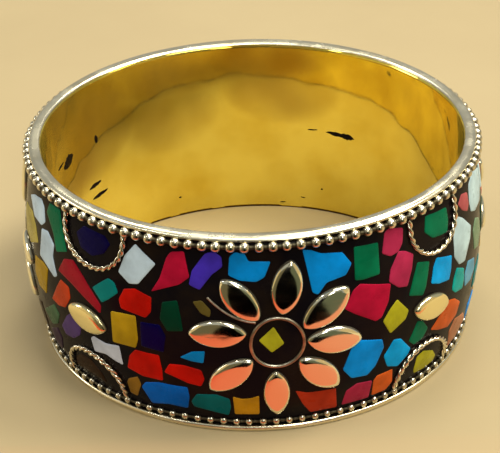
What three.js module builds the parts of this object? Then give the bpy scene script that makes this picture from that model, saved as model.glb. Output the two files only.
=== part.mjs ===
// A rigid slip-on bangle, in millimetres. Its axis is Z and its lower rim stands on z = 0.
//
// A polished inner band carries an upper and a lower rim. Together they make a channel that
// is filled with black lac, and a beaded wire closes the lac off against each rim. Flowers of
// leaf-shaped studs, single leaf studs, wire rings and half-round rope wires sit on the lac.
// An azimuth of 0 faces -Y, and azimuths grow towards +X.

import * as THREE from "three";

// Driving dimensions.
const INNER_RADIUS = 31.75;
const HEIGHT = 31.3;
const BAND_THICKNESS = 0.8;
const JOINT_GAP = 0.05;
const SEAT_GAP = 0.1;

// Rims: rings seated round the band's two ends. The upper one's lip rolls over the band's edge.
const UPPER_RIM = { outerRadius: 33.6, thickness: 0.8, edgeRound: 0.38, lip: 0.35 };
const LOWER_RIM = { outerRadius: 34.1, thickness: 0.85, edgeRound: 0.25 };

// Beaded wires.
const BEADS = 113;
const UPPER_BEADS = { ringRadius: 34.05, z: HEIGHT - 1.2, beadRadius: 0.69, neckRadius: 0.3 };
const LOWER_BEADS = { ringRadius: 33.5, z: 1.43, beadRadius: 0.5, neckRadius: 0.3 };

// Lac: its outer face bulges between two shoulders that stop short of the beaded wires.
const LAC_SHOULDER = 2.0;
const LAC_EDGE_RADIUS = 33.4;
const LAC_BULGE = 1.45;
const LAC_FACE_STEPS = 8;

// Studs and wires on the lac.
const LEAF = { pointedness: 1.32, bevel: 0.5, height: 0.85 };
const STUD = { halfLength: 3.9, halfWidth: 2.1 };
const FLOWER = { z: 15.5, ringHalfWidth: 3.65, ringHalfHeight: 3.92, wireRadius: 0.25 };
const CHIP = { halfWidth: 1.6, height: 0.35 };
const LEAF_STUD_Z = 14.1;
const TAIL_WIRE_RADIUS = 0.2;
const ROPE = { arcRadius: 5.8, wireRadius: 0.42, upperZ: 28.8, lowerZ: 2.0 };
const ROPE_ENDS = { upper: 3, lower: 6 };

// The petals are cut and laid by hand: each has its own size, place round the flower and lean.
const PETALS = [
  { angle: 80, lean: -1, distance: 8.48, halfLength: 3.9, halfWidth: 2.15 },
  { angle: 33.6, lean: 4, distance: 8.3, halfLength: 4.0, halfWidth: 2.15 },
  { angle: -4.8, lean: -5, distance: 8.1, halfLength: 4.0, halfWidth: 2.1 },
  { angle: -44.6, lean: 0, distance: 8.32, halfLength: 4.1, halfWidth: 2.1 },
  { angle: -91, lean: 3, distance: 8.7, halfLength: 4.05, halfWidth: 1.98 },
  { angle: -140.7, lean: 1, distance: 8.4, halfLength: 4.05, halfWidth: 2.0 },
  { angle: 169.7, lean: 13, distance: 8.28, halfLength: 4.0, halfWidth: 2.1 },
  { angle: 126.4, lean: 4, distance: 8.38, halfLength: 3.9, halfWidth: 2.1 },
];

// The route of the short wire that trails from the front flower's ring, across and up from it.
const TAIL_WIRE_ROUTE = [
  [-2.9, 3.35],
  [-5.1, 3.9],
  [-7.4, 5.2],
  [-9.4, 7.0],
];

// Four flowers, and four gap motifs between them, laid by hand too. The left flower's upper
// petals are spread further round than the rest.
const FLOWERS = [
  { name: "front", azimuth: 4.5, turn: 0, spread: [] },
  { name: "right", azimuth: 103, turn: 6, spread: [] },
  { name: "back", azimuth: 185, turn: -5, spread: [] },
  { name: "left", azimuth: 269, turn: 6, spread: [27, 42, 0, 0, 0, 0, 0, 12] },
];
const GAPS = [
  { name: "front_right", azimuth: 45.5, upperShift: 1.5, lowerShift: -0.5, tilt: -14 },
  { name: "back_right", azimuth: 144, upperShift: 0, lowerShift: 1, tilt: 5 },
  { name: "back_left", azimuth: 227, upperShift: -1, lowerShift: 0, tilt: -8 },
  { name: "front_left", azimuth: 316.5, upperShift: 2.5, lowerShift: -0.5, tilt: -7 },
];

// Facets.
const RING_SEGMENTS = 72;
const LEAF_SIDES = 10;

const SEAT_RADIUS = INNER_RADIUS + BAND_THICKNESS + JOINT_GAP;
const MIDDLE_RADIUS = LAC_EDGE_RADIUS + LAC_BULGE;
const radians = THREE.MathUtils.degToRad;

const FINISHES = {
  brass: { color: 0xd9b24a, roughness: 0.15, metalness: 1 },
  paleBrass: { color: 0xd8cba0, roughness: 0.22, metalness: 1 },
  lac: { color: 0x0c0a0c, roughness: 0.2, metalness: 0 },
  limeChip: { color: 0xa8a022, roughness: 0.3, metalness: 0 },
};

function finish(name) {
  return new THREE.MeshStandardMaterial(FINISHES[name]);
}

function part(name, geometry, material) {
  const mesh = new THREE.Mesh(geometry, finish(material));
  mesh.name = name;
  return mesh;
}

// ---- The lac's outer face, which everything on the bangle's outside is laid on.

function lacRadius(z) {
  const share = (z - HEIGHT / 2) / (HEIGHT / 2 - LAC_SHOULDER);
  return LAC_EDGE_RADIUS + LAC_BULGE * (1 - share * share);
}

function lacSlope(z) {
  const reach = HEIGHT / 2 - LAC_SHOULDER;
  return (-2 * LAC_BULGE * (z - HEIGHT / 2)) / (reach * reach);
}

// Lays flat work on the lac: x runs round the band, y up it and z straight out of it.
// The work is first turned in its own plane, then centred at an azimuth and a height.
function layOnLac(geometry, azimuth, height, turn) {
  const laid = geometry.clone().rotateZ(radians(turn));
  const position = laid.getAttribute("position");
  const point = new THREE.Vector3();
  for (let i = 0; i < position.count; i += 1) {
    point.fromBufferAttribute(position, i);
    const angle = radians(azimuth) + point.x / MIDDLE_RADIUS;
    const z = height + point.y;
    const slope = lacSlope(z);
    const steepness = Math.hypot(1, slope);
    const radius = lacRadius(z) + point.z / steepness;
    position.setXYZ(
      i,
      radius * Math.sin(angle),
      -radius * Math.cos(angle),
      z - (point.z * slope) / steepness,
    );
  }
  return laid;
}

// ---- Rings turned about the bangle's axis.

function turnedRing(profile) {
  const closed = [...profile, profile[0]];
  const points = closed.map(([radius, z]) => new THREE.Vector2(radius, z));
  return new THREE.LatheGeometry(points, RING_SEGMENTS).rotateX(Math.PI / 2);
}

function innerBand() {
  const outerRadius = INNER_RADIUS + BAND_THICKNESS;
  const top = HEIGHT - UPPER_RIM.lip - JOINT_GAP;
  return turnedRing([
    [INNER_RADIUS, 0],
    [outerRadius, 0],
    [outerRadius, top],
    [INNER_RADIUS, top],
  ]);
}

function upperRim() {
  const { outerRadius, thickness, edgeRound, lip } = UPPER_RIM;
  return turnedRing([
    [SEAT_RADIUS, HEIGHT - thickness],
    [outerRadius - edgeRound, HEIGHT - thickness],
    [outerRadius - edgeRound * 0.3, HEIGHT - thickness + edgeRound * 0.3],
    [outerRadius, HEIGHT - thickness + edgeRound],
    [outerRadius, HEIGHT - edgeRound],
    [outerRadius - edgeRound * 0.3, HEIGHT - edgeRound * 0.3],
    [outerRadius - edgeRound, HEIGHT],
    [INNER_RADIUS + edgeRound, HEIGHT],
    [INNER_RADIUS + edgeRound * 0.3, HEIGHT - lip * 0.3],
    [INNER_RADIUS, HEIGHT - lip],
    [SEAT_RADIUS, HEIGHT - lip],
  ]);
}

function lowerRim() {
  const { outerRadius, thickness, edgeRound } = LOWER_RIM;
  return turnedRing([
    [SEAT_RADIUS, 0],
    [outerRadius - edgeRound, 0],
    [outerRadius, edgeRound],
    [outerRadius, thickness - edgeRound],
    [outerRadius - edgeRound, thickness],
    [SEAT_RADIUS, thickness],
  ]);
}

function lacBed() {
  const bottom = LOWER_RIM.thickness + JOINT_GAP;
  const top = HEIGHT - UPPER_RIM.thickness - JOINT_GAP;
  const lowerGroove = LOWER_BEADS.ringRadius - LOWER_BEADS.beadRadius - JOINT_GAP;
  const upperGroove = UPPER_BEADS.ringRadius - UPPER_BEADS.beadRadius - JOINT_GAP;
  const face = [];
  for (let i = 0; i <= LAC_FACE_STEPS; i += 1) {
    const z = LAC_SHOULDER + ((HEIGHT - 2 * LAC_SHOULDER) * i) / LAC_FACE_STEPS;
    face.push([lacRadius(z), z]);
  }
  return turnedRing([
    [SEAT_RADIUS, bottom],
    [lowerGroove, bottom],
    [lowerGroove, LAC_SHOULDER],
    ...face,
    [upperGroove, HEIGHT - LAC_SHOULDER],
    [upperGroove, top],
    [SEAT_RADIUS, top],
  ]);
}

// A ring of beads: a torus whose section is full at each bead and pinched between them.
function beadedWire({ ringRadius, z, beadRadius, neckRadius }) {
  const stations = 2 * BEADS;
  const wire = new THREE.TorusGeometry(ringRadius, beadRadius, 6, stations);
  const position = wire.getAttribute("position");
  for (let i = 0; i < position.count; i += 1) {
    const x = position.getX(i);
    const y = position.getY(i);
    const angle = Math.atan2(y, x);
    const station = Math.round((angle / (2 * Math.PI)) * stations);
    const pinch = Math.abs(station) % 2 === 0 ? 1 : neckRadius / beadRadius;
    const radius = ringRadius + (Math.hypot(x, y) - ringRadius) * pinch;
    position.setXYZ(i, radius * Math.cos(angle), radius * Math.sin(angle), position.getZ(i) * pinch);
  }
  return wire.translate(0, 0, z);
}

// ---- Studs, chips and wires, as flat work that layOnLac bends to the band.

// A pointed oval with a bevelled edge and a low crown, from a drum of three levels.
function leaf({ halfLength, halfWidth }) {
  const drum = new THREE.CylinderGeometry(1, 1, 2, LEAF_SIDES, 2).rotateX(Math.PI / 2);
  const position = drum.getAttribute("position");
  const levels = [
    { inset: 0, height: 0 },
    { inset: 0.15, height: 0.55 },
    { inset: 1, height: 0.9 },
  ];
  for (let i = 0; i < position.count; i += 1) {
    const x = position.getX(i);
    const y = position.getY(i);
    const { inset, height } = levels[Math.round(position.getZ(i)) + 1];
    const isCentre = Math.hypot(x, y) < 0.5;
    const crown = isCentre && height > 0 ? 1 : height;
    const length = halfLength - inset * LEAF.bevel * 1.4;
    const width = halfWidth - inset * LEAF.bevel;
    const side = Math.sign(y) * Math.abs(y) ** LEAF.pointedness;
    position.setXYZ(i, x * length, side * width, SEAT_GAP + crown * LEAF.height);
  }
  return drum;
}

// A four-cornered chip, set on a corner.
function chip() {
  const { halfWidth, height } = CHIP;
  return new THREE.CylinderGeometry(halfWidth, halfWidth * 1.05, height, 4)
    .rotateX(Math.PI / 2)
    .translate(0, 0, SEAT_GAP + height / 2);
}

function flowerRing() {
  const { ringHalfWidth, ringHalfHeight, wireRadius } = FLOWER;
  return new THREE.TorusGeometry(ringHalfWidth, wireRadius, 5, 24)
    .scale(1, ringHalfHeight / ringHalfWidth, 1)
    .translate(0, 0, SEAT_GAP + wireRadius);
}

function roundBar(route, wireRadius, steps) {
  const section = new THREE.Shape().absarc(0, 0, wireRadius, 0, 2 * Math.PI);
  return new THREE.ExtrudeGeometry(section, {
    curveSegments: 3,
    steps,
    extrudePath: route,
    bevelEnabled: false,
  });
}

// About half a turn of rope wire, open towards +y.
function ropeLoop(endAngle) {
  const { arcRadius, wireRadius } = ROPE;
  class Arc extends THREE.Curve {
    getPoint(share, target = new THREE.Vector3()) {
      const angle = radians(180 + endAngle + share * (180 - 2 * endAngle));
      const height = SEAT_GAP + wireRadius;
      return target.set(arcRadius * Math.cos(angle), arcRadius * Math.sin(angle), height);
    }
  }
  return roundBar(new Arc(), wireRadius, 16);
}

function tailWire() {
  const height = SEAT_GAP + TAIL_WIRE_RADIUS;
  const stops = TAIL_WIRE_ROUTE.map(([across, up]) => new THREE.Vector3(across, up, height));
  return roundBar(new THREE.CatmullRomCurve3(stops), TAIL_WIRE_RADIUS, 8);
}

// ---- Motifs, each centred on azimuth 0.

function flower({ name, turn, spread }) {
  const group = new THREE.Group();
  PETALS.forEach((cut, index) => {
    const angle = cut.angle + turn + (spread[index] ?? 0);
    const across = cut.distance * Math.cos(radians(angle));
    const up = cut.distance * Math.sin(radians(angle));
    const azimuth = THREE.MathUtils.radToDeg(across / MIDDLE_RADIUS);
    const petal = layOnLac(leaf(cut), azimuth, FLOWER.z + up, angle + cut.lean);
    group.add(part(`${name}_petal_${index + 1}`, petal, "brass"));
  });
  group.add(part(`${name}_flower_ring`, layOnLac(flowerRing(), 0, FLOWER.z, 0), "paleBrass"));
  group.add(part(`${name}_flower_chip`, layOnLac(chip(), 0, FLOWER.z, turn), "limeChip"));
  return group;
}

function gapMotif({ name, upperShift, lowerShift, tilt }) {
  const group = new THREE.Group();
  const stud = layOnLac(leaf(STUD), 0, LEAF_STUD_Z, tilt);
  const upperLoop = layOnLac(ropeLoop(ROPE_ENDS.upper), upperShift, ROPE.upperZ, 0);
  const lowerLoop = layOnLac(ropeLoop(ROPE_ENDS.lower), lowerShift, ROPE.lowerZ, 180);
  group.add(part(`${name}_leaf_stud`, stud, "brass"));
  group.add(part(`${name}_upper_rope_loop`, upperLoop, "paleBrass"));
  group.add(part(`${name}_lower_rope_loop`, lowerLoop, "paleBrass"));
  return group;
}

const bangle = new THREE.Group();
bangle.add(part("inner_band", innerBand(), "brass"));
bangle.add(part("upper_rim", upperRim(), "paleBrass"));
bangle.add(part("lower_rim", lowerRim(), "paleBrass"));
bangle.add(part("upper_bead_wire", beadedWire(UPPER_BEADS), "paleBrass"));
bangle.add(part("lower_bead_wire", beadedWire(LOWER_BEADS), "paleBrass"));
bangle.add(part("lac_bed", lacBed(), "lac"));

for (const place of FLOWERS) {
  const motif = flower(place);
  motif.rotation.z = radians(place.azimuth);
  bangle.add(motif);
}
const tail = part("front_tail_wire", layOnLac(tailWire(), 0, FLOWER.z, 0), "paleBrass");
tail.rotation.z = radians(FLOWERS[0].azimuth);
bangle.add(tail);
for (const place of GAPS) {
  const motif = gapMotif(place);
  motif.rotation.z = radians(place.azimuth);
  bangle.add(motif);
}

export default bangle;
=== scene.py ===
import math
import random

import bpy
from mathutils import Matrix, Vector, noise


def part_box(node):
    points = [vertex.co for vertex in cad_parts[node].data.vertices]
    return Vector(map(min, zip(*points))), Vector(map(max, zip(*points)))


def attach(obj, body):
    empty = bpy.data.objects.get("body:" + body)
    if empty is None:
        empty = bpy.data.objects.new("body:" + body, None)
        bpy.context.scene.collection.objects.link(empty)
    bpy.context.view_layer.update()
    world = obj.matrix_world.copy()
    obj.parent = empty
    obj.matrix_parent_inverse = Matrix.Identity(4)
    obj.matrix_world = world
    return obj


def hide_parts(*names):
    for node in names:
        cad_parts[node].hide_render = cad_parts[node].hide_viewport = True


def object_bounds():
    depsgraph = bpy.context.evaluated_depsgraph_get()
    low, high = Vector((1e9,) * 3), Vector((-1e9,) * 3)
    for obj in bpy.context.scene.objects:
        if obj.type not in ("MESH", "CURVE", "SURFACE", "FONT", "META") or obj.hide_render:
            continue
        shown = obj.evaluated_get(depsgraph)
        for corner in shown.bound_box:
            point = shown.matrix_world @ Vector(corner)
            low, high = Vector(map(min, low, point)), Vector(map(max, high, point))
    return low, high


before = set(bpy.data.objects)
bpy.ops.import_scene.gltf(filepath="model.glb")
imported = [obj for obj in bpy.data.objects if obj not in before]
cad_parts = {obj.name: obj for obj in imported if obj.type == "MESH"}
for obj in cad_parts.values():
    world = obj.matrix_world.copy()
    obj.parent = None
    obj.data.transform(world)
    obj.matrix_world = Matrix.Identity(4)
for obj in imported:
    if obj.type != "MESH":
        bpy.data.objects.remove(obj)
CAD_LOW, CAD_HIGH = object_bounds()

# -------- dimensions, in metres

MM = 0.001
HEIGHT = CAD_HIGH.z
MID_Z = HEIGHT / 2
INNER_RADIUS = 31.75 * MM
BAND_OUTER_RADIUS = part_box("inner_band")[1].x
BAND_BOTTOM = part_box("inner_band")[0].z
BAND_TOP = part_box("inner_band")[1].z
UPPER_RIM_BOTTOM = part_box("upper_rim")[0].z
LOWER_RIM_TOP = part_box("lower_rim")[1].z
JOINT_GAP = 0.05 * MM
RIM_LIP = HEIGHT - BAND_TOP - JOINT_GAP
UPPER_RIM_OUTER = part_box("upper_rim")[1].x
LOWER_RIM_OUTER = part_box("lower_rim")[1].x
LOWER_RIM_ROLL = 0.35 * MM
LOWER_RIM_STEPS = 12
# The bangle isn't quite round: how far its two edges are drawn in at the flanks.
LOWER_EDGE_SQUEEZE = 0.6 * MM
UPPER_EDGE_SQUEEZE = 0.35 * MM

# The lac's outer face bulges between two shoulders.
LAC_SHOULDER = 2.0 * MM
LAC_EDGE_RADIUS = 33.4 * MM
LAC_BULGE = 1.45 * MM
MIDDLE_RADIUS = LAC_EDGE_RADIUS + LAC_BULGE

BEADS = 113
UPPER_BEADS = {"ring": 34.02 * MM, "z": HEIGHT - 1.2 * MM, "bead": 0.72 * MM, "neck": 0.3 * MM}
LOWER_BEADS = {"ring": 33.5 * MM, "z": 1.45 * MM, "bead": 0.53 * MM, "neck": 0.2 * MM}
# The azimuth of the first bead, in degrees.
BEAD_START = 0.85

LEAF_HEIGHT = 0.85 * MM
LEAF_POINTEDNESS = 1.32
# How deep a stud is let into the lac, the share of its height that its edge wall takes, and how
# steeply its sides rise from there to the flat middle of its dome.
LEAF_DEPTH = 0.15 * MM
LEAF_EDGE = 0.1
LEAF_STEEPNESS = 5
# Half length and half width of the single studs, in millimetres.
STUD_SIZE = (3.9, 2.1)
FLOWER_Z = 15.5 * MM
RING_HALF_WIDTH = 3.65 * MM
RING_HALF_HEIGHT = 3.92 * MM
RING_WIRE = 0.25 * MM
STUD_Z = 14.1 * MM
# The height at which every upper loop's legs end, and the lower loops' centre and legs.
UPPER_ROPE_END = 29.25 * MM
LOWER_ROPE = {"z": 2.3 * MM, "leg": 0.1 * MM}

# Each petal: its direction from the flower's centre and its lean in degrees, then its distance,
# half length and half width in millimetres.
PETALS = [
    (80, -1, 8.48, 3.9, 2.15), (33.6, 4, 8.25, 4.2, 2.15), (-4.8, -5, 8.1, 4.0, 2.1),
    (-44.6, 0, 8.32, 4.1, 2.1), (-91, 3, 8.7, 4.05, 1.98), (-140.7, 1, 8.4, 4.05, 2.0),
    (169.7, 13, 8.28, 4.0, 2.1), (126.4, 4, 8.38, 3.9, 2.1),
]
# Each flower: azimuth and turn, and how much further its first petals are spread round.
FLOWERS = [
    ("front", 4.5, 0, ()), ("right", 103, 6, ()), ("back", 185, -5, ()),
    ("left", 269, 6, (27, 42, 0, 0, 0, 0, 0, 12)),
]
# Each gap motif: azimuth, shift of the upper and of the lower loop, and the stud's tilt, then
# the upper loop's radius, the lower loop's radius and the upper loop's centre in millimetres.
GAPS = [
    ("front_right", 45.5, 1.9, -0.5, -14, 5.25, 5.9, 27.9),
    ("back_right", 144, 0, 1, 5, 5.7, 5.8, 28.8),
    ("back_left", 227, -1, 0, -8, 5.9, 5.8, 28.8),
    ("front_left", 316.5, 2.4, -0.5, -7, 5.8, 5.9, 28.8),
]
# The loose wire end beside the front flower's ring: across and up from its centre, in millimetres.
TAIL_ROUTE = [(-2.9, 3.35), (-5.1, 3.9), (-7.4, 5.2), (-9.4, 7.0)]

# -------- the mosaic

PALETTE = {
    "crimson": (0.36, 0.004, 0.028),
    "dark_red": (0.26, 0.005, 0.014),
    "red": (0.42, 0.004, 0.001),
    "rust": (0.34, 0.024, 0.006),
    "orange": (0.54, 0.09, 0.012),
    "pink": (0.35, 0.018, 0.060),
    "rose": (0.30, 0.014, 0.04),
    "teal": (0.0, 0.15, 0.14),
    "green": (0.0, 0.118, 0.048),
    "dark_green": (0.0, 0.032, 0.014),
    "blue": (0.0, 0.20, 0.56),
    "royal_blue": (0.0, 0.085, 0.37),
    "pale_blue": (0.09, 0.27, 0.37),
    "indigo": (0.045, 0.022, 0.36),
    "navy": (0.001, 0.0, 0.035),
    "purple": (0.055, 0.026, 0.10),
    "plum": (0.030, 0.014, 0.030),
    "pale_grey": (0.43, 0.54, 0.62),
    "sea_grey": (0.41, 0.54, 0.54),
    "lilac_grey": (0.44, 0.46, 0.52),
    "lime": (0.36, 0.33, 0.012),
    "olive": (0.37, 0.30, 0.06),
    "mustard": (0.37, 0.22, 0.006),
    "amber": (0.43, 0.195, 0.006),
    "brown": (0.026, 0.012, 0.005),
    "vermilion": (0.42, 0.04, 0.008),
    "violet": (0.065, 0.032, 0.12),
    "moss": (0.04, 0.09, 0.04),
    "ochre": (0.21, 0.10, 0.010),
    "cerulean": (0.0, 0.16, 0.42),
    "bright_blue": (0.0, 0.29, 0.62),
    "bright_teal": (0.0, 0.29, 0.25),
    "coral": (0.36, 0.07, 0.07),
    "salmon": (0.40, 0.15, 0.065),
    "sage": (0.16, 0.24, 0.13),
    "bronze": (0.085, 0.062, 0.012),
    "deep_teal": (0.0, 0.085, 0.085),
}

# Each chip: its colour and its corners, as azimuth in degrees and height in millimetres.
# They run from the left flank round the front to the right flank.
FRONT_CHIPS = [
    ("pale_grey", (-72.5, 26), (-69, 27), (-64, 27.7), (-62, 27), (-61, 25), (-63, 24), (-68, 24)),
    ("green", (-60, 26.8), (-59, 28.3), (-54, 28.5), (-52.5, 26.5), (-50.2, 23.3), (-54.5, 22.2),
     (-56, 24.5)),
    ("olive", (-81.5, 21.5), (-78, 23.4), (-70.3, 24.2), (-66.5, 22.6), (-64.9, 20.4),
     (-72, 18.2), (-80, 17.8)),
    ("pale_grey", (-62.5, 23.4), (-59, 23.9), (-55.8, 22.7), (-56.5, 20.8), (-54.8, 18.2),
     (-56, 17.6), (-63.8, 18.9)),
    ("mustard", (-68.5, 17.6), (-62, 18.4), (-59, 18), (-60.5, 15), (-62, 12.5), (-67.5, 12.2),
     (-70.5, 14)),
    ("dark_red", (-53.5, 19.3), (-51, 21.7), (-47.5, 22.4), (-44, 20.8), (-38.7, 17.5),
     (-39, 16.2), (-44, 17.6), (-48, 18.6)),
    ("vermilion", (-58.3, 13.2), (-55, 16.2), (-53, 17.9), (-49.7, 17.5), (-49.5, 15.8),
     (-52, 13.6), (-55, 13)),
    ("violet", (-55.3, 9.3), (-52, 12), (-50, 13), (-46.2, 12), (-47.5, 10), (-50.5, 8.6), (-54, 8.2)),
    ("moss", (-66, 8.7), (-63, 10), (-58, 12.2), (-56, 11), (-58, 8.8), (-62, 7.4)),
    ("plum", (-65.5, 3), (-64.5, 5.6), (-59, 7.6), (-57.6, 6.2), (-59, 4), (-61.5, 2.7)),
    ("brown", (-78, 3), (-77, 7), (-69.5, 8.8), (-67.3, 6), (-68.5, 2.8)),
    ("navy", (-46.5, 27), (-44, 28.4), (-37.5, 28.2), (-35.8, 27.3), (-37.5, 25.7), (-41, 24.7),
     (-44.7, 25.2)),
    ("teal", (-40.8, 19.8), (-38.5, 21), (-36, 22.2), (-34.3, 21.9), (-33.3, 20.5), (-36, 19),
     (-38, 18.1)),
    ("pale_grey", (-33, 23.8), (-31.3, 26.5), (-28.6, 28.5), (-26, 27.4), (-23.2, 26.3),
     (-27.6, 22.8), (-30, 22.5)),
    ("red", (-32.8, 19.6), (-31.3, 21.4), (-28.5, 21.9), (-24.4, 21.2), (-24.6, 19), (-26, 17.9),
     (-32.3, 18.3)),
    ("mustard", (-35.3, 17.1), (-32, 17.4), (-28.6, 17.6), (-28.4, 14), (-29.2, 12.4), (-35.5, 12.1)),
    ("lilac_grey", (-43, 10.8), (-42, 11.4), (-38, 11.1), (-34, 11.6), (-33.5, 8.3), (-36, 8.6),
     (-38.5, 9.1), (-42.4, 8.6)),
    ("red", (-32.1, 8.2), (-31, 10.5), (-29.3, 11.8), (-23.3, 11.9), (-22.9, 9.5), (-23, 7.6),
     (-28, 7.5)),
    ("navy", (-27.4, 13), (-27.2, 16.9), (-22.5, 17.1), (-21.2, 15.5), (-22, 12.8)),
    ("ochre", (-32.9, 3.2), (-33.2, 5.2), (-32.5, 6), (-29.8, 6.9), (-29.2, 5.6), (-31, 3)),
    ("royal_blue", (-28.8, 5.2), (-27.5, 6.3), (-24, 6.9), (-17, 7), (-16.8, 5.3), (-17.5, 3.1),
     (-22, 3.2), (-26.8, 2.5)),
    ("brown", (-53, 2.9), (-51.5, 5), (-48.5, 6.4), (-44.5, 6.3), (-41.5, 4.6), (-40.5, 2.9)),
    ("crimson", (-24.1, 22.3), (-22, 24.5), (-20.5, 27.5), (-19.5, 28.3), (-16.5, 28.6),
     (-15.2, 25.2), (-17.5, 24)),
    ("indigo", (-15, 24.2), (-14.3, 26.2), (-11.5, 28.6), (-9.5, 29), (-7.8, 28.3), (-7.6, 27),
     (-10, 25.8), (-12.6, 23.6)),
    ("blue", (-6, 25.9), (-5.7, 28.4), (-4.5, 29), (-2.3, 28.8), (-1.6, 27.8), (3.2, 27.7),
     (1.8, 25.6), (0, 25), (-3.5, 25.2)),
    ("dark_green", (-22.2, 18.2), (-21.5, 20.8), (-18, 21.4), (-17.3, 19), (-16.9, 16.9), (-20.5, 16.5)),
    ("bronze", (-14.3, 21.6), (-12.2, 21.9), (-10.3, 20.6), (-10.5, 19.5), (-12.5, 20)),
    ("cerulean", (-17.8, 12.4), (-15, 13.6), (-12, 13.9), (-12.5, 11.9), (-15, 12)),
    ("red", (-22, 9.2), (-20.5, 10.8), (-17, 11), (-13.2, 10.5), (-12.6, 9), (-13.5, 7.7),
     (-16.5, 8), (-18.5, 8.5)),
    ("deep_teal", (-16, 4.5), (-14.5, 6), (-10, 6.3), (-7, 5.6), (-6.8, 4), (-7.5, 2.5),
     (-12, 3.2), (-15.5, 3.6)),
    ("amber", (-5.9, 6.1), (-4, 5.7), (-2, 5.8), (0, 6.3), (0, 2.8), (-5.7, 2.8)),
    ("rust", (8.8, 6.7), (11.5, 6.1), (18.3, 5.9), (19, 2.3), (12.5, 2.3), (10.5, 4.2)),
    ("blue", (11, 28.8), (13, 28.6), (15, 28), (20, 27.6), (22, 25.8), (20.5, 24.4), (16, 23.9),
     (14, 22.4), (12.8, 22.8), (12, 25.5)),
    ("green", (23.2, 27.9), (29.3, 27.6), (29.2, 23.2), (25, 23.1), (23, 23.3)),
    ("blue", (20.2, 9.2), (22, 12.4), (24.3, 13.4), (29.8, 12.4), (30.4, 11), (28.5, 8.2),
     (26.5, 7), (22.5, 7.3)),
    ("rose", (20.6, 2.4), (21.4, 4.9), (24, 5.8), (28.1, 5.4), (27.8, 2.3)),
    ("crimson", (20.4, 19.3), (22.5, 21.7), (24.2, 22.4), (29, 21.5), (32, 21), (31.3, 18.5),
     (29.5, 16.4), (28, 16.1), (22.5, 18.3)),
    ("pink", (30.4, 26), (31.5, 28.6), (32.8, 29), (36.8, 28.4), (36.2, 26.4), (34.8, 25.4),
     (32.6, 25.2)),
    ("pink", (31.9, 21.5), (32.5, 23.2), (35, 25.3), (37, 24.9), (39.2, 24), (38.5, 22),
     (37, 19.7), (34.5, 20.1)),
    ("lime", (30.2, 15.5), (32, 17), (34, 18.1), (37.4, 15.6), (36.5, 14.4), (32.3, 13.1)),
    ("bright_blue", (31, 9.3), (33.5, 11.5), (35.5, 11.2), (39, 8.6), (38.3, 7.7), (35.5, 6.4),
     (32.3, 7.2)),
    ("orange", (28.6, 5.3), (29.5, 6.1), (34, 6.2), (34.6, 3.6), (33, 2.4), (28.8, 2.4)),
    ("green", (37.7, 18), (39, 20.3), (40.5, 22.4), (44.4, 21.6), (43.8, 20), (43, 18), (42, 17)),
    ("green", (43.8, 26.3), (44.6, 28.4), (52.6, 27.8), (52.8, 25.8), (51.9, 24.4), (49.8, 24.5),
     (46.3, 24.9)),
    ("bright_blue", (45.2, 18), (46, 20.3), (47.3, 21.4), (53.4, 20.1), (53, 18), (52.2, 16.6),
     (48, 17.2)),
    ("bright_teal", (54.3, 14.2), (54.8, 15.9), (56.2, 17.2), (60.2, 15.9), (60.5, 14),
     (60, 12.6), (56, 13.2)),
    ("coral", (58.5, 26.7), (61, 27.6), (64.3, 27), (64.6, 25.2), (63.2, 24.4), (60.5, 25.3)),
    ("sea_grey", (65.4, 25.3), (66.4, 27.5), (70, 28.4), (77.5, 27), (77.5, 24.5), (75, 22.6),
     (69, 22.8), (66, 23.6)),
    ("sea_grey", (57, 25.2), (60, 24.1), (64.8, 21.5), (64, 19.8), (60.5, 17.2), (57.5, 17.6),
     (55, 19.5), (54.9, 22.5)),
    ("green", (37.8, 10), (40.6, 13.2), (42.8, 12.6), (45.2, 10.6), (43.2, 9), (40, 8.7)),
    ("orange", (46.4, 9.8), (49.5, 11.3), (52.5, 12.8), (56, 12), (59.3, 10.4), (58.2, 8.5),
     (54, 7.8), (49.5, 8.8)),
    ("lime", (42, 3.8), (42.3, 6), (44.5, 6.4), (48.5, 5.2), (50.5, 3.6), (50, 2.7), (46, 2.6),
     (42.5, 2.9)),
    ("pale_blue", (61.2, 14.5), (63, 16.2), (68.2, 15), (69, 13), (66, 12), (62, 12.3)),
    ("salmon", (56, 6.2), (58.2, 7.7), (64.5, 6.5), (67.4, 4.6), (64, 2.5), (57.6, 2.7)),
    ("sage", (66.8, 20), (69, 21.4), (73, 20.2), (75, 17.4), (72, 15.8), (68, 16.6)),
    ("teal", (70, 9.2), (71, 12), (75.5, 13.2), (75.8, 11.8), (74.6, 8.6)),
    ("blue", (69.5, 3.4), (69, 6.4), (74, 7), (76.8, 6.2), (76.2, 3)),
    ("amber", (78.3, 3.2), (78.2, 6.2), (81, 5.9), (81.4, 3.4)),
    ("dark_green", (76.6, 16.8), (76.8, 20.8), (80.8, 21.3), (82, 18), (80, 16)),
    ("sea_grey", (79.2, 23.4), (79.3, 27.8), (82.2, 28.1), (82.3, 25), (81.5, 22.8)),
]
FLOWER_CHIP = ("lime", (0.3, 16), (3.7, 18.1), (6.1, 15.3), (3.2, 13.9))
# FRONT_CHIPS covers the front as far as this azimuth on each side.
FRONT_EDGE = 80
CHIP_ROUNDING = 0.28 * MM
CHIP_PROUD = 0.11 * MM
CHIP_DEPTH = 0.55 * MM
# A chip that meets something shrinks in these steps, down to this share of its size.
CHIP_SHRINK = 0.04
SMALLEST_CHIP = 0.55
# Later chips keep clear of this one grown by this factor.
CHIP_CLEARANCE = 1.03
FRONT_CHIP_SIZE = 1.05
BACK_CHIP_JITTER = 0.22 * MM
# The stretch that repeats behind the flanks: from the front flower's left to the next one's.
TILE_START, TILE_END = -34.5, 55.5
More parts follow.
